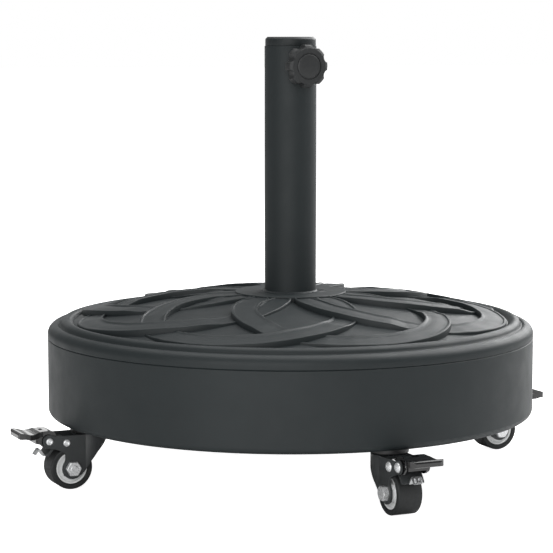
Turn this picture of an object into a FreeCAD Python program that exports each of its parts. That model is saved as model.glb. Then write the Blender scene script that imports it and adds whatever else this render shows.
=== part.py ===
"""Parasol base on four braked swivel castors, as separate pieces in millimetres, +Z up.

The clamp knob faces -Y and the castors sit at -Y, +X, +Y and -X. The floor is Z = 0.
A castor is drawn once in its own frame: X points outward from its swivel axis, Y lies
along the wheel axle and Z is the height above the floor.
"""
import FreeCAD, Part
import math
import os
import re
import Sketcher
from FreeCAD import Placement, Rotation, Vector

SIZES = {
    # weighted body
    "body_radius": 245.0,
    "underside": 60.0,
    "seam_height": 137.6,
    "seam_bevel": 1.0,
    "corner_round": 6.0,
    "wall": 3.0,
    "lip_depth": 5.6,
    "lip_gap": 0.3,
    "lip_wall": 2.5,
    "crown_round": 9.0,
    "crown_top": 150.4,
    "groove_radius": 233.6,
    "groove_floor": 149.2,
    "bead_outer": 232.2,
    "bead_inner": 220.6,
    "bead_foot": 151.0,
    "bead_round": 6.2,
    "bead_groove": 219.5,
    "field_radius": 218.4,
    "dome_radius": 943.0,
    "dome_top": 177.7,
    "seat_radius": 55.5,
    "seat_top": 178.9,
    "hub_hole": 26.4,
    # relief of eight interlaced rings on the dome
    "ring_offset": 115.5,
    "ring_radius": 93.5,
    "band_half": 12.6,
    "relief_low": 2.9,
    "relief_high": 6.0,
    # concrete
    "ballast_radius": 241.6,
    "ballast_rim_top": 131.4,
    "ballast_step": 200.0,
    "ballast_top": 145.0,
    "stud_pocket": 9.3,
    "stud_pocket_top": 86.0,
    # post
    "post_radius": 26.0,
    "post_bore": 24.5,
    "post_top": 427.4,
    "flange_radius": 56.0,
    "flange_thick": 2.2,
    "flange_round": 0.9,
    "plate_radius": 24.45,
    "plate_thick": 6.0,
    "centre_bolt_radius": 5.95,
    "centre_bolt_flats": 19.0,
    "centre_bolt_head": 7.5,
    "centre_bore": 6.6,
    "plate_bore": 6.0,
    "washer_radius": 18.0,
    "washer_thick": 2.5,
    # reducer sleeve
    "reducer_bore": 19.3,
    "reducer_radius": 24.42,
    "reducer_bottom": 372.0,
    "collar_radius": 25.35,
    "collar_top": 436.5,
    "collar_bevel": 2.3,
    "reducer_slot_half": 4.8,
    # clamp
    "clamp_height": 407.5,
    "boss_radius": 8.0,
    "boss_face": 30.0,
    "boss_bore": 4.06,
    "screw_radius": 4.0,
    "post_side_hole": 4.25,
    "pad_radius": 3.9,
    "pad_tip": 23.6,
    "pad_thick": 1.6,
    "knob_back": 31.0,
    "knob_thick": 13.0,
    "knob_radius": 21.3,
    "knob_round": 3.0,
    "knob_recess": 9.0,
    "knob_recess_depth": 4.0,
    "knob_screw_top": 9.0,
    "knob_cap_radius": 12.0,
    "knob_cap_floor": 10.5,
    "scallop_radius": 4.9,
    "scallop_offset": 22.5,
    # castor
    "castor_offset": 217.0,
    "axle_out": 22.0,
    "axle_up": 21.0,
    "tyre_radius": 21.0,
    "tyre_half": 12.5,
    "tyre_round": 1.6,
    "hub_radius": 15.6,
    "hub_half": 11.5,
    "bush_radius": 6.0,
    "bush_bore": 4.07,
    "bush_half": 12.6,
    "axle_radius": 4.0,
    "axle_flats": 13.0,
    "axle_head": 5.3,
    "axle_nut": 4.6,
    "axle_end": 5.4,
    "race_radius": 18.3,
    "race_bottom": 54.5,
    "ball_pocket_in": 8.5,
    "ball_pocket_out": 13.5,
    "ball_pocket_top": 58.1,
    "ball_circle": 11.0,
    "ball_radius": 2.2,
    "ball_height": 55.8,
    "stud_radius": 4.95,
    "stud_top": 82.0,
    "stud_head_radius": 7.5,
    "stud_head_top": 51.2,
    "stud_head_bottom": 47.8,
    "insert_radius": 9.0,
    "insert_top": 84.0,
    "fork_top": 53.5,
    "fork_half": 15.0,
    "fork_sheet": 2.0,
    "fork_nose": 17.4,
    "fork_lobe": 10.5,
    "arm_round": 6.5,
    "swivel_hole": 5.03,
    "rivet_out": 28.0,
    "rivet_up": 46.5,
    "pivot_out": 45.3,
    "pivot_up": 49.0,
    "rivet_radius": 2.8,
    "rivet_head": 3.6,
    "rivet_dome": 4.8,
    "rivet_hole": 2.87,
    # brake
    "pedal_reach": 76.0,
    "ear_half": 12.4,
    "ear_sheet": 1.8,
    "block_half": 10.6,
    "shoe_outer": 28.5,
    "shoe_sheet": 2.2,
    "shoe_half": 11.6,
    "shoe_eye": 4.2,
    "tab_half": 4.6,
}

CASTORS = {"front": -90, "right": 0, "back": 90, "left": 180}

doc = FreeCAD.newDocument("parasol_base")
sheet = doc.addObject("Spreadsheet::Sheet", "Sizes")
for row, (alias, size) in enumerate(SIZES.items(), start=1):
    sheet.set(f"A{row}", alias)
    sheet.set(f"B{row}", str(size))
    sheet.setAlias(f"B{row}", alias)
doc.recompute()

ALIAS = re.compile(r"\b(" + "|".join(SIZES) + r")\b")


def bound(text):
    """The expression with every size name pointing at the sheet."""
    return ALIAS.sub(r"Sizes.\1", str(text))


def value(text):
    """What a size expression is worth now."""
    return float(sheet.evalExpression(bound(text)))


def bind(thing, **sizes):
    """Sets properties of a feature by expression."""
    for name, text in sizes.items():
        thing.setExpression(name, bound(text))


def at_castor(name, inner=None):
    """Placement of a piece drawn in the frame of the named castor."""
    turn = Rotation(Vector(0, 0, 1), CASTORS[name])
    spot = turn.multVec(Vector(value("castor_offset"), 0, 0))
    outer = Placement(spot, turn)
    return outer.multiply(inner) if inner else outer


def across(out, up, side=0.0, flip=False):
    """Placement that lays a turned piece along the castor's Y, through (out, up)."""
    turn = Rotation(Vector(1, 0, 0), 90 if flip else -90)
    return Placement(Vector(value(out), value(side), value(up)), turn)


def raise_from(radius, top, crown):
    """Height of a sphere of this radius at distance radius from the axis, as text."""
    return f"{top} - {crown} + sqrt({crown}^2 - ({radius})^2)"


def arc_between(start, end, radius):
    """Arc from start to end; a positive radius bulges to the left of the travel."""
    chord = end - start
    half = chord.Length / 2
    left = Vector(-chord.y, chord.x, 0).normalize()
    rise = math.sqrt(max(radius * radius - half * half, 0.0))
    centre = (start + end) * 0.5 - left * math.copysign(rise, radius)
    bearings = [math.atan2(p.y - centre.y, p.x - centre.x) for p in (start, end)]
    if radius > 0:
        bearings.reverse()
    if bearings[1] < bearings[0]:
        bearings[1] += 2 * math.pi
    circle = Part.Circle(centre, Vector(0, 0, 1), abs(radius))
    return Part.ArcOfCircle(circle, *bearings)


def draw(sketch, outline):
    """Draws a closed outline; a third entry makes the edge that follows an arc."""
    spots = [Vector(value(p[0]), value(p[1]), 0) for p in outline]
    count = len(spots)
    first_vertex = []
    for i, point in enumerate(outline):
        start, end = spots[i], spots[(i + 1) % count]
        if len(point) == 3:
            edge = arc_between(start, end, value(point[2]))
        else:
            edge = Part.LineSegment(start, end)
        sketch.addGeometry(edge)
        begins = sketch.Geometry[i].StartPoint.distanceToPoint(start) < 1e-6
        first_vertex.append(1 if begins else 2)
    for i, point in enumerate(outline):
        after = (i + 1) % count
        rule = Sketcher.Constraint(
            "Coincident", i, 3 - first_vertex[i], after, first_vertex[after]
        )
        sketch.addConstraint(rule)
        for axis, place, text in (("X", spots[i].x, point[0]), ("Y", spots[i].y, point[1])):
            rule = Sketcher.Constraint("Distance" + axis, -1, 1, i, first_vertex[i], place)
            number = sketch.addConstraint(rule)
            sketch.setExpression(f"Constraints[{number}]", bound(text))
        if len(point) == 3:
            rule = Sketcher.Constraint("Radius", i, abs(value(point[2])))
            number = sketch.addConstraint(rule)
            sketch.setExpression(f"Constraints[{number}]", bound(f"abs({point[2]})"))


def new_sketch(body, plane, outline):
    """A sketch of one outline on an origin plane of the body."""
    sketch = body.newObject("Sketcher::SketchObject", body.Name + "_outline")
    support = next(f for f in body.Origin.OriginFeatures if f.Role == plane)
    sketch.AttachmentSupport = [(support, "")]
    sketch.MapMode = "FlatFace"
    draw(sketch, outline)
    return sketch


def turned(label, outline, place=None):
    """A body turned round its own Z from an outline of (radius, height)."""
    body = doc.addObject("PartDesign::Body", label)
    body.Label = label
    sketch = new_sketch(body, "XZ_Plane", outline)
    turn = body.newObject("PartDesign::Revolution", label + "_turn")
    turn.Profile = sketch
    turn.ReferenceAxis = (sketch, ["V_Axis"])
    turn.Angle = 360
    sketch.Visibility = False
    if place:
        body.Placement = place
    return body


def padded(label, plane, outline, length, place=None, centred=True):
    """A body padded from an outline on an origin plane."""
    body = doc.addObject("PartDesign::Body", label)
    body.Label = label
    sketch = new_sketch(body, plane, outline)
    pad = body.newObject("PartDesign::Pad", label + "_pad")
    pad.Profile = sketch
    pad.Midplane = centred
    bind(pad, Length=length)
    sketch.Visibility = False
    if place:
        body.Placement = place
    return body


def box(label, length, width, height, x, y, z):
    """A block with its low corner at (x, y, z)."""
    made = doc.addObject("Part::Box", label)
    bind(made, Length=length, Width=width, Height=height)
    spot = {"Placement.Base.x": x, "Placement.Base.y": y, "Placement.Base.z": z}
    for name, text in spot.items():
        made.setExpression(name, bound(text))
    return made


def rod(label, radius, length, place=None, angle=None):
    """A cylinder along its own Z."""
    made = doc.addObject("Part::Cylinder", label)
    bind(made, Radius=radius, Height=length)
    if angle is not None:
        made.Angle = angle
    if place:
        made.Placement = place
    return made


def cross_rod(label, radius, half, out, up):
    """A cylinder along the castor's Y, centred on its middle plane."""
    return rod(label, radius, f"2 * ({half})", across(out, up, f"0 - ({half})"))


def fused(label, pieces):
    made = doc.addObject("Part::MultiFuse", label)
    made.Shapes = pieces
    return made


def shared(label, pieces):
    made = doc.addObject("Part::MultiCommon", label)
    made.Shapes = pieces
    return made


def cut(label, base, tool):
    made = doc.addObject("Part::Cut", label)
    made.Base = base
    made.Tool = tool
    return made


def grouped(label, pieces):
    made = doc.addObject("Part::Compound", label)
    made.Links = pieces
    made.Label = label
    return made


def labelled(made, label, place=None):
    made.Label = label
    if place:
        made.Placement = place
    return made


def hexagon(label, flats, low, high, bevel):
    """A hexagonal prism between two heights with its outer corners bevelled."""
    prism = doc.addObject("Part::Prism", label + "_hex")
    prism.Polygon = 6
    bind(prism, Circumradius=f"({flats}) / sqrt(3)", Height=f"({high}) - ({low})")
    prism.setExpression("Placement.Base.z", bound(low))
    corner = f"({flats}) / sqrt(3)"
    outline = [
        (0, low),
        (f"{corner} - {bevel[0]}", low),
        (f"{corner} + 0.01", f"({low}) + 0.55 * {bevel[0]} + 0.01"),
        (f"{corner} + 0.01", f"({high}) - 0.55 * {bevel[1]} - 0.01"),
        (f"{corner} - {bevel[1]}", high),
        (0, high),
    ]
    return shared(label, [prism, turned(label + "_bevel", outline)])


NODES = []


# --- weighted body ---------------------------------------------------------------------

def make_bottom_shell():
    """Pan that holds the concrete, with holes for the centre bolt and castor studs."""
    pan = turned("pan", [
        ("centre_bore", "underside"),
        ("body_radius - corner_round", "underside", "0 - corner_round"),
        ("body_radius", "underside + corner_round"),
        ("body_radius", "seam_height - seam_bevel"),
        ("body_radius - seam_bevel", "seam_height"),
        ("body_radius - wall", "seam_height"),
        ("body_radius - wall", "underside + corner_round"),
        ("body_radius - wall - 3.2", "underside + wall"),
        ("centre_bore", "underside + wall"),
    ])
    holes = [
        rod("pan_hole_" + name, "stud_radius + 0.5", "wall + 4",
            at_castor(name, Placement(Vector(0, 0, value("underside") - 2), Rotation())))
        for name in CASTORS
    ]
    NODES.append(labelled(cut("bottom_shell", pan, fused("pan_holes", holes)), "bottom_shell"))


def ring_place(index, turn=0.0):
    """Placement on the centre of one relief ring."""
    bearing = -90 + 45 * index
    spot = Rotation(Vector(0, 0, 1), bearing).multVec(Vector(value("ring_offset"), 0, 0))
    spot.z = 140
    return Placement(spot, Rotation(Vector(0, 0, 1), bearing + turn))


def ring_band(label, index, turn=0.0, angle=None):
    """One ring of the relief, or the part of it that spans an angle, as an upright wall."""
    outer = rod(label + "_out", "ring_radius + band_half", 60, ring_place(index, turn), angle)
    inner = rod(label + "_in", "ring_radius - band_half", 60, ring_place(index))
    return cut(label, outer, inner)


def relief_layer(label, height, outer_edge, inner_edge):
    """Dome-shaped layer that trims the rings to one height."""
    crown = f"(dome_radius + {height})"
    top = f"(dome_top + {height})"
    return turned(label, [
        (inner_edge, raise_from(inner_edge, "(dome_top - 1.5)", "(dome_radius - 1.5)")),
        (outer_edge, raise_from(outer_edge, "(dome_top - 1.5)", "(dome_radius - 1.5)")),
        (outer_edge, raise_from(outer_edge, top, crown), f"0 - {crown}"),
        (inner_edge, raise_from(inner_edge, top, crown)),
    ])


def make_top_cover():
    """Domed cover with a beaded rim, a flat seat for the post and the interlaced relief."""
    inner = "(dome_radius - wall)"
    inner_top = "(dome_top - wall)"
    shell = turned("cover_shell", [
        ("body_radius - wall - lip_gap - lip_wall", "seam_height - lip_depth"),
        ("body_radius - wall - lip_gap", "seam_height - lip_depth"),
        ("body_radius - wall - lip_gap", "seam_height"),
        ("body_radius - seam_bevel", "seam_height"),
        ("body_radius", "seam_height + seam_bevel"),
        ("body_radius", "crown_top - crown_round", "0 - crown_round"),
        ("body_radius - crown_round", "crown_top"),
        ("groove_radius", "groove_floor"),
        ("bead_outer", "bead_foot", "0 - bead_round"),
        ("bead_inner", "bead_foot + 1"),
        ("bead_groove", "bead_foot + 0.3"),
        ("field_radius", raise_from("field_radius", "dome_top", "dome_radius"), "0 - dome_radius"),
        ("seat_radius", raise_from("seat_radius", "dome_top", "dome_radius")),
        ("seat_radius", "seat_top"),
        ("hub_hole", "seat_top"),
        ("hub_hole", raise_from("hub_hole", inner_top, inner), inner),
        ("field_radius", raise_from("field_radius", inner_top, inner)),
        ("body_radius - crown_round - 1", "crown_top - wall"),
        ("body_radius - wall - lip_gap - lip_wall", "crown_top - crown_round + 1"),
    ])
    rings = [ring_band(f"ring_{i}", i) for i in range(8)]
    low = shared("relief_low_bands", [
        fused("rings", rings),
        relief_layer("low_layer", "relief_low", "bead_inner + 0.4", "seat_radius - 4"),
    ])
    spans = []
    for i in range(8):
        spans.append(ring_band(f"over_outer_{i}", i, 6, 72))
        spans.append(ring_band(f"over_inner_{i}", i, -142, 64))
    high = shared("relief_high_bands", [
        fused("over_spans", spans),
        relief_layer("high_layer", "relief_high", "bead_inner + 0.4", "seat_radius + 2"),
    ])
    flat = rod("seat_trim", "seat_radius + 1", 20,
               Placement(Vector(0, 0, value("seat_top")), Rotation()))
    whole = fused("cover_with_relief", [shell, low, high])
    NODES.append(labelled(cut("top_cover", whole, flat), "top_cover"))


def make_ballast():
    """Concrete poured in the pan, with a pocket round every castor insert."""
    block = turned("ballast_block", [
        ("centre_bore + 0.4", "underside + wall"),
        ("ballast_radius - 3.4", "underside + wall"),
        ("ballast_radius", "underside + corner_round + 0.6"),
        ("ballast_radius", "ballast_rim_top"),
        ("ballast_step + 12", "ballast_rim_top"),
        ("ballast_step", "ballast_top"),
        ("centre_bore + 0.4", "ballast_top"),
    ])
    pockets = [
        rod("pocket_" + name, "stud_pocket", "stud_pocket_top - underside",
            at_castor(name, Placement(Vector(0, 0, value("underside")), Rotation())))
        for name in CASTORS
    ]
    made = cut("concrete_ballast", block, fused("pockets", pockets))
    NODES.append(labelled(made, "concrete_ballast"))


# --- post and clamp --------------------------------------------------------------------

def make_post():
    """Tube, its flange, the nut plate in its foot and the bolt that pulls it down."""
    tube = turned("tube", [
        ("post_bore", "ballast_top"),
        ("post_radius", "ballast_top"),
        ("post_radius", "post_top"),
        ("post_bore", "post_top"),
    ])
    hole = rod("tube_hole", "post_side_hole", 20, facing_clamp(36))
    NODES.append(labelled(cut("post_tube", tube, hole), "post_tube"))
    NODES.append(turned("post_flange", [
        ("post_radius + 0.03", "seat_top"),
        ("flange_radius", "seat_top"),
        ("flange_radius", "seat_top + flange_thick - flange_round", "0 - flange_round"),
        ("flange_radius - flange_round", "seat_top + flange_thick"),
        ("post_radius + 1.6", "seat_top + flange_thick"),
        ("post_radius + 0.03", "seat_top + flange_thick + 1.4"),
    ]))
    NODES.append(turned("post_end_plate", [
        ("plate_bore", "ballast_top"),
        ("plate_radius", "ballast_top"),
        ("plate_radius", "ballast_top + plate_thick"),
        ("plate_bore", "ballast_top + plate_thick"),
    ]))
    seat = "(underside - washer_thick)"
    NODES.append(turned("centre_washer", [
        ("centre_bolt_radius + 0.1", seat),
        ("washer_radius - 0.5", seat),
        ("washer_radius", f"{seat} + 0.5"),
        ("washer_radius", "underside"),
        ("centre_bolt_radius + 0.1", "underside"),
    ]))
    head = hexagon("centre_head", "centre_bolt_flats", f"{seat} - centre_bolt_head", seat, (2, 0.6))
    shank = turned("centre_shank", [
        (0, f"{seat} - 1"),
        ("centre_bolt_radius", f"{seat} - 1"),
        ("centre_bolt_radius", "ballast_top + plate_thick + 2"),
        ("centre_bolt_radius - 1.2", "ballast_top + plate_thick + 3.2"),
        (0, "ballast_top + plate_thick + 3.2"),
    ])
    NODES.append(labelled(fused("centre_bolt", [head, shank]), "centre_bolt"))


def facing_clamp(distance):
    """Placement at this distance in front of the post axis with Z pointing back to it."""
    spot = Vector(0, -value(distance), value("clamp_height"))
    return Placement(spot, Rotation(Vector(1, 0, 0), -90))


def leaving_clamp(distance):
    """Placement at this distance in front of the post axis with Z pointing away from it."""
    spot = Vector(0, -value(distance), value("clamp_height"))
    return Placement(spot, Rotation(Vector(1, 0, 0), 90))


def make_clamp_boss():
    """Threaded boss welded on the post for the clamp screw."""
    length = "(boss_face - 20)"
    blank = turned("boss_blank", [
        ("boss_bore", 0),
        ("boss_radius", 0),
        ("boss_radius", f"{length} - 0.8"),
        ("boss_radius - 0.8", length),
        ("boss_bore", length),
    ], leaving_clamp(20))
    tube = rod("boss_saddle", "post_radius", 60,
               Placement(Vector(0, 0, value("clamp_height") - 30), Rotation()))
    NODES.append(labelled(cut("clamp_boss", blank, tube), "clamp_boss"))


def make_reducer():
    """Plastic sleeve with a collar; a slot open at its foot clears the clamp screw."""
    sleeve = turned("sleeve", [
        ("reducer_bore", "reducer_bottom"),
        ("reducer_radius - 0.8", "reducer_bottom"),
        ("reducer_radius", "reducer_bottom + 2"),
        ("reducer_radius", "post_top"),
        ("collar_radius", "post_top"),
        ("collar_radius", "collar_top - collar_bevel"),
        ("collar_radius - collar_bevel", "collar_top"),
        ("reducer_bore + 0.8", "collar_top"),
        ("reducer_bore", "collar_top - 0.8"),
    ])
    slot = box("sleeve_slot", "2 * reducer_slot_half", 20, "clamp_height - reducer_bottom + 1",
               "0 - reducer_slot_half", -32, "reducer_bottom - 1")
    end = rod("sleeve_slot_end", "reducer_slot_half", 20, facing_clamp(32))
    made = cut("reducer_collar", sleeve, fused("sleeve_opening", [slot, end]))
    NODES.append(labelled(made, "reducer_collar"))


def make_knob():
    """Eight-lobed knob with its cap, the screw moulded in it and the pad on the screw."""
    blank = turned("knob_blank", [
        ("knob_recess", 0),
        ("knob_radius - knob_round", 0, "0 - knob_round"),
        ("knob_radius", "knob_round"),
        ("knob_radius", "knob_thick - knob_round - 0.4"),
        ("knob_radius - 0.9", "knob_thick - 1.5"),
        ("knob_radius - 3.6", "knob_thick"),
        ("knob_cap_radius + 1", "knob_thick"),
        ("knob_cap_radius + 1", "knob_thick - 1.2"),
        ("knob_cap_radius + 0.05", "knob_thick - 1.2"),
        ("knob_cap_radius + 0.05", "knob_cap_floor"),
        (0, "knob_cap_floor"),
        (0, "knob_screw_top"),
        ("screw_radius + 0.02", "knob_screw_top"),
        ("screw_radius + 0.02", "knob_recess_depth"),
        ("knob_recess", "knob_recess_depth"),
    ])
    scallops = []
    for i in range(8):
        turn = Rotation(Vector(0, 0, 1), 22.5 + 45 * i)
        spot = turn.multVec(Vector(value("scallop_offset"), 0, 0)) - Vector(0, 0, 1)
        scallops.append(rod(f"scallop_{i}", "scallop_radius", "knob_thick + 2", Placement(spot, turn)))
    star = cut("knob", blank, fused("scallops", scallops))
    NODES.append(labelled(star, "knob", leaving_clamp("knob_back")))
    NODES.append(turned("knob_cap", [
        (0, "knob_cap_floor"),
        ("knob_cap_radius", "knob_cap_floor"),
        ("knob_cap_radius", "knob_thick - 0.5"),
        ("knob_cap_radius - 0.9", "knob_thick"),
        ("knob_cap_radius - 5", "knob_thick + 0.45"),
        (2, "knob_thick + 0.7"),
        (0, "knob_thick + 0.7"),
    ], leaving_clamp("knob_back")))
    start = "(pad_tip + pad_thick - knob_back)"
    NODES.append(turned("clamp_screw", [
        (0, start),
        ("screw_radius - 0.7", start),
        ("screw_radius", f"{start} + 0.7"),
        ("screw_radius", "knob_screw_top - 0.1"),
        (0, "knob_screw_top - 0.1"),
    ], leaving_clamp("knob_back")))
    NODES.append(turned("thrust_pad", [
        (0, 0),
        ("pad_radius - 0.3", 0),
        ("pad_radius", 0.3),
        ("pad_radius", "pad_thick"),
        (0, "pad_thick"),
    ], leaving_clamp("pad_tip")))


# --- castors ---------------------------------------------------------------------------

def make_swivels():
    """Races, studs, inserts and balls that hold the four forks, each kind as one group."""
    races, studs, inserts, balls = [], [], [], []
    for name in CASTORS:
        place = at_castor(name)
        races.append(turned("race_" + name, [
            ("stud_radius + 0.1", "race_bottom"),
            ("ball_pocket_in", "race_bottom"),
            ("ball_pocket_in", "ball_pocket_top"),
            ("ball_pocket_out", "ball_pocket_top"),
            ("ball_pocket_out", "race_bottom"),
            ("race_radius - 1", "race_bottom", "0 - 1"),
            ("race_radius", "race_bottom + 1"),
            ("race_radius", "underside - 0.4"),
            ("race_radius - 0.4", "underside"),
            ("stud_radius + 0.1", "underside"),
        ], place))
        studs.append(turned("stud_" + name, [
            (0, "stud_head_bottom"),
            ("stud_head_radius - 1.6", "stud_head_bottom"),
            ("stud_head_radius", "stud_head_bottom + 1.4"),
            ("stud_head_radius", "stud_head_top"),
            ("stud_radius", "stud_head_top"),
            ("stud_radius", "stud_top - 1"),
            ("stud_radius - 1", "stud_top"),
            (0, "stud_top"),
        ], place))
        floor = "(underside + wall)"
        inserts.append(turned("insert_" + name, [
            ("stud_radius + 0.05", floor),
            ("insert_radius", floor),
            ("insert_radius", f"{floor} + 7"),
            ("insert_radius - 1.2", f"{floor} + 8.2"),
            ("insert_radius - 1.2", f"{floor} + 12"),
            ("insert_radius", f"{floor} + 13.2"),
            ("insert_radius", "insert_top"),
            ("stud_radius + 0.05", "insert_top"),
        ], place))
        for i in range(8):
            bearing = Rotation(Vector(0, 0, 1), 45 * i)
            spot = bearing.multVec(Vector(value("ball_circle"), 0, 0))
            spot.z = value("ball_height")
            ball = doc.addObject("Part::Sphere", f"ball_{name}_{i}")
            bind(ball, Radius="ball_radius")
            ball.Placement = at_castor(name, Placement(spot, Rotation()))
            balls.append(ball)
    NODES.append(grouped("race_discs", races))
    NODES.append(grouped("castor_studs", studs))
    NODES.append(grouped("stud_inserts", inserts))
    NODES.append(grouped("swivel_balls", balls))


def make_fork(name):
    """Pressed fork: a round crown, two legs to the axle and two arms to the pedal pivot."""
    tag = "_" + name
    flank = padded("flank" + tag, "XZ_Plane", [
        ("0 - fork_nose - 1", "fork_top"),
        ("0 - fork_nose - 1", 51),
        (-3.4, 36.5),
        (4.4, 26.4),
        (8.8, 18.7),
        (13.2, 14.2),
        (30.8, 14.2),
        (32.2, 24),
        (29.6, 28.9),
        (29.2, 31),
        (29.4, 35.2),
        (31.4, 37.8),
        (40.9, 41.4),
        ("pivot_out + 1", "pivot_up - arm_round + 0.1"),
        ("pivot_out", "pivot_up + arm_round"),
        (40.6, "pivot_up + 5.2"),
        (37.5, "fork_top"),
    ], "2 * fork_nose + 2")
    side = fused("fork_side" + tag, [
        flank,
        cross_rod("lobe" + tag, "fork_lobe", "fork_nose + 1", "axle_out", "axle_up"),
        cross_rod("arm_end" + tag, "arm_round", "fork_nose + 1", "pivot_out", "pivot_up"),
    ])
    plan = fused("fork_plan" + tag, [
        rod("crown" + tag, "fork_nose", 60),
        box("legs" + tag, 60, "2 * fork_half", 60, 0, "0 - fork_half", 0),
    ])
    inner = "(fork_half - fork_sheet)"
    room = fused("fork_room" + tag, [
        rod("crown_room" + tag, "fork_nose - fork_sheet", "fork_top - fork_sheet"),
        box("leg_room" + tag, 61, f"2 * {inner}", "fork_top - fork_sheet", 0, f"0 - {inner}", 0),
        box("arm_room" + tag, 61, f"2 * {inner}", 70, "fork_nose - 1", f"0 - {inner}", 0),
        rod("swivel_room" + tag, "swivel_hole", 70),
        cross_rod("axle_room" + tag, "axle_radius + 0.05", 30, "axle_out", "axle_up"),
        cross_rod("rivet_room" + tag, "rivet_radius + 0.02", 30, "rivet_out", "rivet_up"),
        cross_rod("pivot_room" + tag, "rivet_radius + 0.02", 30, "pivot_out", "pivot_up"),
    ])
    made = cut("fork" + tag, shared("fork_blank" + tag, [side, plan]), room)
    NODES.append(labelled(made, "fork" + tag, at_castor(name)))


def make_axle(name):
    """Hexagon bolt through the fork and the nut that holds it."""
    tag = "_" + name
    head = hexagon("axle_head" + tag, "axle_flats", "0 - axle_head", 0, (1.5, 0.4))
    shank = turned("axle_shank" + tag, [
        (0, -1),
        ("axle_radius", -1),
        ("axle_radius", "2 * fork_half + axle_end - 0.8"),
        ("axle_radius - 0.8", "2 * fork_half + axle_end"),
        (0, "2 * fork_half + axle_end"),
    ])
    bolt = fused("axle_bolt" + tag, [head, shank])
    place = at_castor(name, across("axle_out", "axle_up", "0 - fork_half"))
    NODES.append(labelled(bolt, "axle_bolt" + tag, place))
    blank = hexagon("nut_blank" + tag, "axle_flats", 0, "axle_nut", (0.9, 1.3))
    bore = rod("nut_bore" + tag, "axle_radius + 0.03", 20, Placement(Vector(0, 0, -5), Rotation()))
    place = at_castor(name, across("axle_out", "axle_up", "fork_half"))
    NODES.append(labelled(cut("axle_nut" + tag, blank, bore), "axle_nut" + tag, place))


def make_wheel(name):
    """Tyre, light hub with a dished face, and the bush that turns on the bolt."""
    tag = "_" + name
    place = at_castor(name, across("axle_out", "axle_up"))
    NODES.append(turned("tyre" + tag, [
        ("hub_radius + 0.02", "0 - hub_half"),
        ("hub_radius + 0.9", "0 - tyre_half"),
        ("tyre_radius - tyre_round", "0 - tyre_half", "0 - tyre_round"),
        ("tyre_radius", "tyre_round - tyre_half"),
        ("tyre_radius", "tyre_half - tyre_round", "0 - tyre_round"),
        ("tyre_radius - tyre_round", "tyre_half"),
        ("hub_radius + 0.9", "tyre_half"),
        ("hub_radius + 0.02", "hub_half"),
    ], place))
    NODES.append(turned("wheel_hub" + tag, [
        ("bush_radius + 0.02", "0 - hub_half - 0.6"),
        ("bush_radius + 2.2", "0 - hub_half - 0.6"),
        ("bush_radius + 2.8", "2.6 - hub_half"),
        ("hub_radius - 2.4", "2.6 - hub_half"),
        ("hub_radius - 1.6", "0 - hub_half"),
        ("hub_radius", "0 - hub_half"),
        ("hub_radius", "hub_half"),
        ("hub_radius - 1.6", "hub_half"),
        ("hub_radius - 2.4", "hub_half - 2.6"),
        ("bush_radius + 2.8", "hub_half - 2.6"),
        ("bush_radius + 2.2", "hub_half + 0.6"),
        ("bush_radius + 0.02", "hub_half + 0.6"),
    ], place))
    NODES.append(turned("wheel_bush" + tag, [
        ("bush_bore", "0 - bush_half"),
        ("bush_radius", "0 - bush_half"),
        ("bush_radius", "bush_half"),
        ("bush_bore", "bush_half"),
    ], place))


def make_rivets(name):
    """Shoe rivet and pedal rivet: a domed head on one side, a peened end on the other."""
    tag = "_" + name
    pair = []
    for kind in ("rivet", "pivot"):
        pair.append(turned(f"{kind}_pin{tag}", [
            (0, "0 - fork_half - 2.6"),
            (1.8, "0 - fork_half - 2.4"),
            ("rivet_dome - 1.5", "0 - fork_half - 1.8"),
            ("rivet_dome - 0.4", "0 - fork_half - 0.9"),
            ("rivet_dome", "0 - fork_half"),
            ("rivet_radius", "0 - fork_half"),
            ("rivet_radius", "fork_half"),
            ("rivet_head - 0.1", "fork_half"),
            ("rivet_head - 0.5", "fork_half + 0.8"),
            (2.2, "fork_half + 1.1"),
            (1.5, "fork_half + 0.5"),
            (0, "fork_half + 0.5"),
        ], at_castor(name, across(kind + "_out", kind + "_up"))))
    NODES.append(grouped("brake_rivets" + tag, pair))


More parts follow.
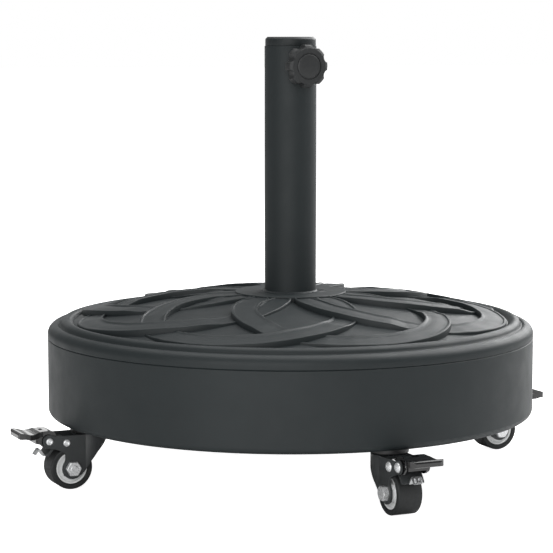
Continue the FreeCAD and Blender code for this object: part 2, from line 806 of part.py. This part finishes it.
def make_pedal(name):
    """Pressed pedal: a wide dipped tread with a turned lip, two ears and a pusher block."""
    tag = "_" + name
    top_line = [
        (38.2, 56.4), (40.4, 58.2), (43.5, 59.1), (48, 59.3), (54, 58.9), (58, 57.8),
        (61, 57.2), (64.5, 57.4), (68, 58.4), (71.5, 59.2), (73.8, 59.3),
        ("pedal_reach - 0.8", 58.7), ("pedal_reach", 57.3),
    ]
    skirt_line = [
        ("pedal_reach", 54), ("pedal_reach - 1", 53.4), (70, 53.4), (65, 52.2), (61, 51.9),
        (57, 52.5), (52, 54), (44, 54.2), (37.6, 54.2),
    ]
    tread = padded("tread" + tag, "XZ_Plane", top_line + skirt_line, 40)
    half = [
        (37, 11.2), (38.5, 12.3), (51, 12.4), (55, 13.4), (60, 15.4), (65, 17.0),
        (70, 17.5), (73, 17.0), (75, 15.2), ("pedal_reach + 0.1", 12),
    ]
    plan = padded("tread_plan" + tag, "XY_Plane",
                  half + [(x, -y) for x, y in reversed(half)], 70, centred=False)
    hollow = padded("tread_hollow" + tag, "XZ_Plane", [
        (40.6, 50), (40.6, 55.8), (43.6, 57.1), (48, 57.3), (53.7, 56.9), (57.7, 55.8),
        (61, 55.2), (64.8, 55.4), (68.3, 56.4), (71.6, 57.2), ("pedal_reach - 2", 57.2),
        ("pedal_reach - 2", 50),
    ], 40)
    room = [(40, 10.6), (51, 10.6), (55.4, 11.5), (60.4, 13.5), (65.4, 15.1), (70, 15.6),
            (73, 15), ("pedal_reach - 2", 12)]
    hollow_plan = padded("hollow_plan" + tag, "XY_Plane",
                         room + [(x, -y) for x, y in reversed(room)], 70, centred=False)
    pan = cut("tread_pan" + tag, shared("tread_part" + tag, [tread, plan]),
              shared("tread_room" + tag, [hollow, hollow_plan]))
    ears = padded("ears" + tag, "XZ_Plane", [
        (37.9, 55.2),
        (37.5, 50),
        (38.6, 46),
        (41.2, 43),
        (45.4, 41.4),
        (50, 42.6),
        (53.6, 46),
        (58, 51.4),
        (59.5, 55.9),
        (54, 58),
        (48, 58.4),
        (43.6, 58.2),
        (40.4, 57),
    ], "2 * ear_half")
    gap = "(ear_half - ear_sheet)"
    between = box("ear_gap" + tag, 60, f"2 * {gap}", 60, 20, f"0 - {gap}", 10)
    block = box("pusher" + tag, 6.6, "2 * block_half", 9.6, 51.2, "0 - block_half", 47)
    whole = fused("pedal_whole" + tag, [
        pan,
        cut("ear_pair" + tag, ears, between),
        block,
    ])
    holes = fused("pedal_holes" + tag, [
        cross_rod("pedal_bore" + tag, "rivet_hole", 30, "pivot_out", "pivot_up"),
        box("pedal_window" + tag, 3.2, 7, 10, 48.4, -3.5, 52),
    ])
    made = cut("brake_pedal" + tag, whole, holes)
    NODES.append(labelled(made, "brake_pedal" + tag, at_castor(name)))


def make_shoe(name):
    """Curved brake shoe on its eye, and the bright adjusting tab fixed to its end."""
    tag = "_" + name
    start = Rotation(Vector(1, 0, 0), 90)
    lower = Placement(Vector(value("axle_out"), value("shoe_half"), value("axle_up")), start)
    sweep = lower.multiply(Placement(Vector(), Rotation(Vector(0, 0, 1), 26.5)))
    arc = cut("shoe_arc" + tag,
              rod("shoe_out" + tag, "shoe_outer", "2 * shoe_half", sweep, 50),
              rod("shoe_in" + tag, "shoe_outer - shoe_sheet", "2 * shoe_half", lower))
    eye = cross_rod("shoe_eye" + tag, "shoe_eye", "shoe_half", "rivet_out", "rivet_up")
    bore = cross_rod("shoe_bore" + tag, "rivet_hole", 30, "rivet_out", "rivet_up")
    made = cut("brake_shoe" + tag, fused("shoe_whole" + tag, [arc, eye]), bore)
    NODES.append(labelled(made, "brake_shoe" + tag, at_castor(name)))
    strip = padded("tab_strip" + tag, "XZ_Plane", [
        (47.0, 34.7),
        (51.0, 40.2),
        (52.1, 40.9),
        (53.2, 40.4),
        (57, 35.2),
        (55.9, 34.4),
        (52.2, 39.2),
        (47.9, 33.0),
    ], "2 * tab_half")
    slots = fused("tab_slots" + tag, [
        box(f"tab_slot{i}{tag}", 6, 1.5, 3.6, 53, side, 35.6) for i, side in enumerate((-2.9, 1.4))
    ])
    made = cut("brake_tab" + tag, strip, slots)
    NODES.append(labelled(made, "brake_tab" + tag, at_castor(name)))


make_bottom_shell()
make_top_cover()
make_ballast()
make_post()
make_clamp_boss()
make_reducer()
make_knob()
make_swivels()
for castor in CASTORS:
    make_fork(castor)
    make_axle(castor)
    make_wheel(castor)
    make_rivets(castor)
    make_pedal(castor)
    make_shoe(castor)
doc.recompute()

for made in doc.Objects:
    if "Invalid" in made.State or "Error" in made.State:
        raise RuntimeError(f"{made.Label} didn't build: {made.State}")

os.makedirs("parts", exist_ok=True)
for node in NODES:
    if node.Shape.isNull() or not node.Shape.isValid():
        raise RuntimeError(f"{node.Label} has no valid shape")
    if not node.Shape.Solids:
        raise RuntimeError(f"{node.Label} has no solid")
    node.Shape.exportStep(f"parts/{node.Label}.step")
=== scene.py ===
import math

import bpy
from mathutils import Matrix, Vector


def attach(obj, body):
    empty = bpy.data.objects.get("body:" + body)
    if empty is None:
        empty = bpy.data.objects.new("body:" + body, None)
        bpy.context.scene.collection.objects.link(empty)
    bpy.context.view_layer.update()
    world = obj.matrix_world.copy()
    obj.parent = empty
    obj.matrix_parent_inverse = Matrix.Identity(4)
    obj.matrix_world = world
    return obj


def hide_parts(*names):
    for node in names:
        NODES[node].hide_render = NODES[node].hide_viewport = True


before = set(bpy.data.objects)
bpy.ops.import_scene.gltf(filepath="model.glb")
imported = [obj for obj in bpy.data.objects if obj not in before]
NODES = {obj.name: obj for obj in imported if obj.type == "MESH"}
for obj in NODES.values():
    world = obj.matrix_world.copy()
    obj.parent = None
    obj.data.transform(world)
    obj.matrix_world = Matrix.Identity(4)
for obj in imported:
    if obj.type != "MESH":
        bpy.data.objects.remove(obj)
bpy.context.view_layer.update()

CASTORS = ("front", "right", "back", "left")
MM = 0.001


# --- materials -------------------------------------------------------------------------

GRAIN_DEPTH = 0.0004


def noise(tree, scale, detail=4.0, rough=0.55):
    """Noise factor in the object's own coordinates."""
    where = tree.nodes.new("ShaderNodeTexCoord").outputs["Object"]
    made = tree.nodes.new("ShaderNodeTexNoise")
    made.inputs["Scale"].default_value = scale
    made.inputs["Detail"].default_value = detail
    made.inputs["Roughness"].default_value = rough
    tree.links.new(where, made.inputs["Vector"])
    return made.outputs["Fac"]


def ramp(tree, factor, low, high, start=0.3, end=0.7):
    """Colour or grey that runs from low to high as the factor does."""
    made = tree.nodes.new("ShaderNodeValToRGB")
    made.color_ramp.elements[0].position = start
    made.color_ramp.elements[1].position = end
    made.color_ramp.elements[0].color = (*low, 1)
    made.color_ramp.elements[1].color = (*high, 1)
    tree.links.new(factor, made.inputs["Fac"])
    return made.outputs["Color"]


def bumped(tree, shader, height, strength, distance):
    """Feeds a height into the shader's normal."""
    made = tree.nodes.new("ShaderNodeBump")
    made.inputs["Strength"].default_value = strength
    made.inputs["Distance"].default_value = distance
    tree.links.new(height, made.inputs["Height"])
    tree.links.new(made.outputs["Normal"], shader.inputs["Normal"])


def surface(name, dark, light, rough, grain, bump, blotch=9.0, **sockets):
    """A surface whose colour and roughness drift a little, with a fine grain in relief."""
    made = bpy.data.materials.new(name)
    made.use_nodes = True
    tree = made.node_tree
    shader = next(n for n in tree.nodes if n.type == "BSDF_PRINCIPLED")
    broad = noise(tree, blotch, 5.0, 0.6)
    tree.links.new(ramp(tree, broad, dark, light), shader.inputs["Base Color"])
    fine = noise(tree, grain, 3.0, 0.6)
    low, high = rough
    gloss = ramp(tree, noise(tree, blotch * 5, 4.0), (low,) * 3, (high,) * 3)
    tree.links.new(gloss, shader.inputs["Roughness"])
    bumped(tree, shader, fine, bump, GRAIN_DEPTH)
    for socket, number in sockets.items():
        shader.inputs[socket.replace("_", " ")].default_value = number
    made.diffuse_color = (*light, 1)
    return made


def make_materials():
    """Every finish on the object."""
    return {
        "shell": surface("shell_satin", (0.0138, 0.0184, 0.0198), (0.0165, 0.0218, 0.0233),
                         (0.47, 0.55), 900, 0.10, Specular_IOR_Level=0.34),
        "post": surface("post_satin", (0.0138, 0.0184, 0.0198), (0.0165, 0.0218, 0.0233),
                        (0.50, 0.58), 900, 0.10, Specular_IOR_Level=0.34),
        "concrete": surface("cast_concrete", (0.20, 0.195, 0.18), (0.38, 0.37, 0.34),
                            (0.8, 0.95), 260, 0.8, blotch=30),
        "zinc": surface("bright_zinc", (0.74, 0.75, 0.76), (0.90, 0.91, 0.92),
                        (0.20, 0.34), 700, 0.08, blotch=60, Metallic=0.55),
        "race": surface("race_steel", (0.020, 0.020, 0.021), (0.030, 0.030, 0.031),
                        (0.35, 0.5), 500, 0.1, blotch=50),
        "ball": surface("ball_steel", (0.7, 0.7, 0.72), (0.8, 0.8, 0.82),
                        (0.1, 0.16), 300, 0.02, blotch=80, Metallic=1.0),
        "reducer": surface("reducer_plastic", (0.0130, 0.0163, 0.0175), (0.0155, 0.0193, 0.0205),
                           (0.42, 0.52), 700, 0.12, Specular_IOR_Level=0.32),
        "knob": surface("knob_plastic", (0.0165, 0.0180, 0.0188), (0.0210, 0.0228, 0.0236),
                        (0.46, 0.56), 1400, 0.22, blotch=40),
        "cap": surface("cap_plastic", (0.0190, 0.0205, 0.0212), (0.0235, 0.0250, 0.0258),
                       (0.40, 0.48), 1400, 0.16, blotch=40),
        "nylon": surface("plain_nylon", (0.50, 0.50, 0.48), (0.62, 0.62, 0.60),
                         (0.4, 0.55), 500, 0.1, blotch=60),
        "fork": surface("fork_coat", (0.027, 0.030, 0.031), (0.035, 0.0385, 0.040),
                        (0.36, 0.48), 800, 0.28, blotch=40),
        "hub": surface("hub_plastic", (0.86, 0.87, 0.87), (0.92, 0.93, 0.93),
                       (0.42, 0.52), 500, 0.08, blotch=50),
        "tyre": surface("tyre_rubber", (0.013, 0.0145, 0.015), (0.018, 0.0195, 0.020),
                        (0.55, 0.7), 600, 0.25, blotch=60),
        "pedal": surface("pedal_enamel", (0.004, 0.004, 0.0045), (0.007, 0.007, 0.0075),
                         (0.10, 0.17), 300, 0.05, blotch=40, Coat_Weight=0.7),
        "tab": surface("tab_steel", (0.55, 0.56, 0.57), (0.70, 0.71, 0.72),
                       (0.25, 0.38), 700, 0.1, blotch=60, Metallic=1.0),
    }


FINISH = {
    "bottom_shell": "shell", "top_cover": "shell", "concrete_ballast": "concrete",
    "post_tube": "post", "post_flange": "post", "clamp_boss": "post",
    "post_end_plate": "zinc", "centre_washer": "zinc", "centre_bolt": "zinc",
    "race_discs": "race", "castor_studs": "zinc", "stud_inserts": "zinc",
    "swivel_balls": "ball", "reducer_collar": "reducer", "thrust_pad": "nylon",
    "knob": "knob", "knob_cap": "cap", "clamp_screw": "zinc",
}
CASTOR_FINISH = {
    "fork": "fork", "axle_bolt": "zinc", "axle_nut": "zinc", "brake_rivets": "zinc",
    "wheel_hub": "hub", "tyre": "tyre", "wheel_bush": "nylon",
    "brake_pedal": "pedal", "brake_shoe": "fork", "brake_tab": "tab",
}
# bevel width in millimetres for pressed, moulded and machined pieces
EDGES = {
    "fork": 0.5, "brake_pedal": 0.7, "brake_shoe": 0.5, "brake_tab": 0.3,
    "axle_bolt": 0.4, "axle_nut": 0.4, "knob": 0.9, "post_flange": 0.3,
    "reducer_collar": 0.4, "clamp_boss": 0.4, "wheel_hub": 0.4, "race_discs": 0.4,
}


def kind_of(node):
    """The node's name without its castor."""
    for castor in CASTORS:
        if node.endswith("_" + castor):
            return node[: -len(castor) - 1]
    return node


def dress_nodes(materials):
    """Gives every CAD node its finish and softens the edges of pressed and moulded ones."""
    for name, node in NODES.items():
        kind = kind_of(name)
        made = materials[{**FINISH, **CASTOR_FINISH}[kind]]
        for slot in node.material_slots:
            slot.material = made
        if kind in EDGES:
            weld = node.modifiers.new("weld", "WELD")
            weld.merge_threshold = 0.000002
            bevel = node.modifiers.new("bevel", "BEVEL")
            bevel.width = EDGES[kind] * MM
            bevel.segments = 3
            bevel.limit_method = "ANGLE"
            bevel.angle_limit = math.radians(38)
            bevel.use_clamp_overlap = True
            bevel.harden_normals = True


# --- relief cover ----------------------------------------------------------------------

# lid and relief, in millimetres; each pair is a radius and a height
DOME_RADIUS, DOME_TOP = 943.0, 177.7
DOME_EDGE = 218.2
SEAT_RADIUS, SEAT_TOP = 55.5, 178.85
POST_HOLE = 26.4
LID_RADIUS, SEAM = 245.0, 137.6
SHOULDER, SHOULDER_ROUND = (236, 141.4), 9.0
BEAD, BEAD_ROUND = (226.217, 149.375), 6.2
LID_THICK = 3.0
DOME_STEPS = 40
RINGS, FIRST_RING = 8, -90
RING_OFFSET, RING_RADIUS, BAND_HALF = 115.5, 93.5, 12.6
RING_STEPS, TURN_STEPS = 288, 256
# height of a ring's top over the dome, in millimetres, at bearings round the ring
WEAVE = (
    (0, 4.5), (22, 5.3), (51, 6.2), (76, 5.2), (90, 2.8), (100, 1.8), (112, 1.8), (124, 3.0),
    (140, 4.0), (180, 4.2), (210, 4.3), (232, 5.6), (253.4, 6.2), (280, 5.3), (293, 2.8),
    (303, 1.8), (315, 1.8), (328, 3.0), (344, 4.1), (360, 4.5),
)


def dome(radius, lift=0.0):
    """Height of the dome, or of a shell lifted off it, at this radius."""
    crown = DOME_RADIUS + lift
    return DOME_TOP - DOME_RADIUS + math.sqrt(crown * crown - radius * radius)


def weave(bearing):
    """Smooth height of a ring's top at a bearing in degrees."""
    for (a, low), (b, high) in zip(WEAVE, WEAVE[1:]):
        if a <= bearing <= b:
            part = (bearing - a) / (b - a)
            part = part * part * (3 - 2 * part)
            return low + (high - low) * part
    return WEAVE[-1][1]


def band_profile(height):
    """Across one ring: (distance from its middle, height over the dome)."""
    half = [
        (BAND_HALF + 0.3, -1.2),
        (BAND_HALF + 0.1, 0.2 * height),
        (BAND_HALF, height - 0.75),
        (BAND_HALF - 0.2, height - 0.3),
        (BAND_HALF - 0.65, height - 0.05),
        (BAND_HALF - 1.2, height),
        (BAND_HALF - 2.2, height - 0.1),
        (BAND_HALF - 3.0, height - 0.95),
        (BAND_HALF - 3.8, height - 1.15),
        (BAND_HALF - 7.5, height - 0.85),
        (0.0, height - 0.7),
    ]
    return half + [(-across, up) for across, up in reversed(half[:-1])]


def join_outlines(faces, first, count, steps):
    """Faces between successive copies of a closed outline, the last joined to the first."""
    for step in range(steps):
        here, after = first + step * count, first + (step + 1) % steps * count
        for i in range(count):
            j = (i + 1) % count
            faces.append((here + i, after + i, after + j, here + j))


def mesh_object(name, points, faces):
    """A smooth-shaded mesh in metres from points in millimetres."""
    mesh = bpy.data.meshes.new(name)
    mesh.from_pydata([(x * MM, y * MM, z * MM) for x, y, z in points], [], faces)
    mesh.validate()
    mesh.update()
    mesh.polygons.foreach_set("use_smooth", [True] * len(mesh.polygons))
    made = bpy.data.objects.new(name, mesh)
    bpy.context.scene.collection.objects.link(made)
    return made


def add_ring(points, faces, index):
    """One closed band of the relief, following the dome."""
    bearing = math.radians(FIRST_RING + 360 / RINGS * index)
    middle = (RING_OFFSET * math.cos(bearing), RING_OFFSET * math.sin(bearing))
    first, count = len(points), len(band_profile(1))
    for step in range(RING_STEPS):
        local = 360 * step / RING_STEPS
        turn = bearing + math.radians(local)
        for across, up in band_profile(weave(local)):
            reach = RING_RADIUS + across
            x = middle[0] + reach * math.cos(turn)
            y = middle[1] + reach * math.sin(turn)
            points.append((x, y, dome(math.hypot(x, y), up)))
    join_outlines(faces, first, count, RING_STEPS)


def arc(middle, radius, start, end, steps):
    """Points round an arc, in degrees."""
    made = []
    for i in range(steps + 1):
        turn = math.radians(start + (end - start) * i / steps)
        made.append((middle[0] + radius * math.cos(turn), middle[1] + radius * math.sin(turn)))
    return made


def cover_profile():
    """Outline of the lid as (radius, height), up the outside and back along the inside."""
    outline = [(239.2, 132.0), (241.6, 132.0), (241.7, 132.1), (241.7, SEAM), (244.4, SEAM),
               (244.75, 137.7), (244.95, 137.95), (LID_RADIUS, 138.4)]
    outline += arc(SHOULDER, SHOULDER_ROUND, 0, 90, 12)
    outline += [(235.2, 150.35), (234.2, 149.7), (233.6, 149.25), (233.0, 149.6), (232.4, 150.7)]
    outline += arc(BEAD, BEAD_ROUND, 15, 153, 14)
    outline += [(220.2, 151.75), (219.5, 151.35), (218.9, 151.6), (DOME_EDGE, dome(DOME_EDGE))]
    for i in range(1, DOME_STEPS + 1):
        radius = DOME_EDGE + (SEAT_RADIUS + 0.6 - DOME_EDGE) * i / DOME_STEPS
        outline.append((radius, dome(radius)))
    outline += [(SEAT_RADIUS, dome(SEAT_RADIUS)), (SEAT_RADIUS, SEAT_TOP), (POST_HOLE, SEAT_TOP)]
    outline += [(POST_HOLE, dome(POST_HOLE, -LID_THICK)), (120.0, dome(120.0, -LID_THICK))]
    outline += [(218.4, 148.9), (235.0, 147.4), (239.2, 142.4)]
    return outline


def make_cover(materials):
    """Domed cover with the interlaced relief, as one mesh in place of the CAD node."""
    points, faces = [], []
    outline = cover_profile()
    for step in range(TURN_STEPS):
        turn = 2 * math.pi * step / TURN_STEPS
        for radius, height in outline:
            points.append((radius * math.cos(turn), radius * math.sin(turn), height))
    join_outlines(faces, 0, len(outline), TURN_STEPS)
    for index in range(RINGS):
        add_ring(points, faces, index)
    cover = mesh_object("relief_cover", points, faces)
    cover.data.materials.append(materials["shell"])
    cover.data.set_sharp_from_angle(angle=math.radians(40))
    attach(cover, "base")
    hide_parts("top_cover")


# --- stage -----------------------------------------------------------------------------

WORLD_LIGHT = 0.25
FLOOR_GLOW = 0.95
FLOOR_BOUNCE = 0.8
FLOOR_DROP = 0.0005
LIGHT_TARGET = Vector((0, 0, 0.15))
# name, place in metres, size in metres, watts
LIGHTS = (
    ("key", (2.0, -0.1, 2.35), (2.4, 2.4), 76),
    ("fill", (-1.9, -2.3, 1.0), (3.2, 2.2), 49),
    ("back", (2.3, 1.5, 1.2), (2.0, 1.2), 42),
    ("top", (0.2, 0.5, 2.8), (3.0, 3.0), 54),
    ("card", (0.25, 2.3, 0.5), (0.9, 0.5), 1.3),
)
CAMERA_SPOT = (-0.8870, -1.9035, 0.432)
CAMERA_HEADING, CAMERA_PITCH = (0.4163, 0.9092), 6.43
CAMERA_LENS, CAMERA_SENSOR = 135.85, 36


def area_light(name, spot, size, power):
    """A soft area light aimed at the middle of the object, unseen by the camera."""
    lamp = bpy.data.lights.new(name, "AREA")
    lamp.shape = "RECTANGLE"
    lamp.size, lamp.size_y = size
    lamp.energy = power
    made = bpy.data.objects.new(name, lamp)
    made.visible_camera = False
    made.location = spot
    made.rotation_euler = (LIGHT_TARGET - made.location).to_track_quat("-Z", "Y").to_euler()
    bpy.context.scene.collection.objects.link(made)


def floor_material():
    """Near-white floor that the camera sees brighter than it lights the object."""
    made = surface("pale_floor", (0.86, 0.86, 0.86), (0.90, 0.90, 0.90), (0.7, 0.8), 40, 0.0,
                   Emission_Color=(1, 1, 1, 1), Emission_Strength=FLOOR_GLOW)
    tree = made.node_tree
    bright = next(n for n in tree.nodes if n.type == "BSDF_PRINCIPLED")
    out = next(n for n in tree.nodes if n.type == "OUTPUT_MATERIAL")
    dim = tree.nodes.new("ShaderNodeBsdfDiffuse")
    dim.inputs["Color"].default_value = (FLOOR_BOUNCE, FLOOR_BOUNCE, FLOOR_BOUNCE, 1)
    path = tree.nodes.new("ShaderNodeLightPath")
    mixed = tree.nodes.new("ShaderNodeMixShader")
    tree.links.new(path.outputs["Is Camera Ray"], mixed.inputs["Fac"])
    tree.links.new(dim.outputs["BSDF"], mixed.inputs[1])
    tree.links.new(bright.outputs["BSDF"], mixed.inputs[2])
    tree.links.new(mixed.outputs["Shader"], out.inputs["Surface"])
    return made


def make_stage():
    """Pale floor, white surroundings and soft lights."""
    bpy.ops.mesh.primitive_plane_add(size=60, location=(0, 0, -FLOOR_DROP))
    floor = bpy.context.active_object
    floor.name = "floor"
    floor.data.materials.append(floor_material())
    world = bpy.data.worlds.new("studio")
    world.use_nodes = True
    tree = world.node_tree
    glow = next(n for n in tree.nodes if n.type == "BACKGROUND")
    glow.inputs["Color"].default_value = (1, 1, 1, 1)
    glow.inputs["Strength"].default_value = WORLD_LIGHT
    seen = tree.nodes.new("ShaderNodeBackground")
    seen.inputs["Color"].default_value = (1, 1, 1, 1)
    seen.inputs["Strength"].default_value = 1.0
    path = tree.nodes.new("ShaderNodeLightPath")
    mixed = tree.nodes.new("ShaderNodeMixShader")
    out = next(n for n in tree.nodes if n.type == "OUTPUT_WORLD")
    tree.links.new(path.outputs["Is Camera Ray"], mixed.inputs["Fac"])
    tree.links.new(glow.outputs["Background"], mixed.inputs[1])
    tree.links.new(seen.outputs["Background"], mixed.inputs[2])
    tree.links.new(mixed.outputs["Shader"], out.inputs["Surface"])
    bpy.context.scene.world = world
    bpy.context.scene.view_settings.view_transform = "Standard"
    for name, spot, size, power in LIGHTS:
        area_light(name, spot, size, power)


def make_camera():
    """Camera a little over two metres away, looking slightly down."""
    lens = bpy.data.cameras.new("camera")
    lens.sensor_width = CAMERA_SENSOR
    lens.lens = CAMERA_LENS
    lens.clip_start, lens.clip_end = 0.05, 100
    camera = bpy.data.objects.new("camera", lens)
    camera.location = CAMERA_SPOT
    pitch = math.radians(CAMERA_PITCH)
    east, north = CAMERA_HEADING
    heading = Vector((east * math.cos(pitch), north * math.cos(pitch), -math.sin(pitch)))
    camera.rotation_euler = heading.to_track_quat("-Z", "Y").to_euler()
    bpy.context.scene.collection.objects.link(camera)
    bpy.context.scene.camera = camera


finishes = make_materials()
dress_nodes(finishes)
make_cover(finishes)
make_stage()
make_camera()
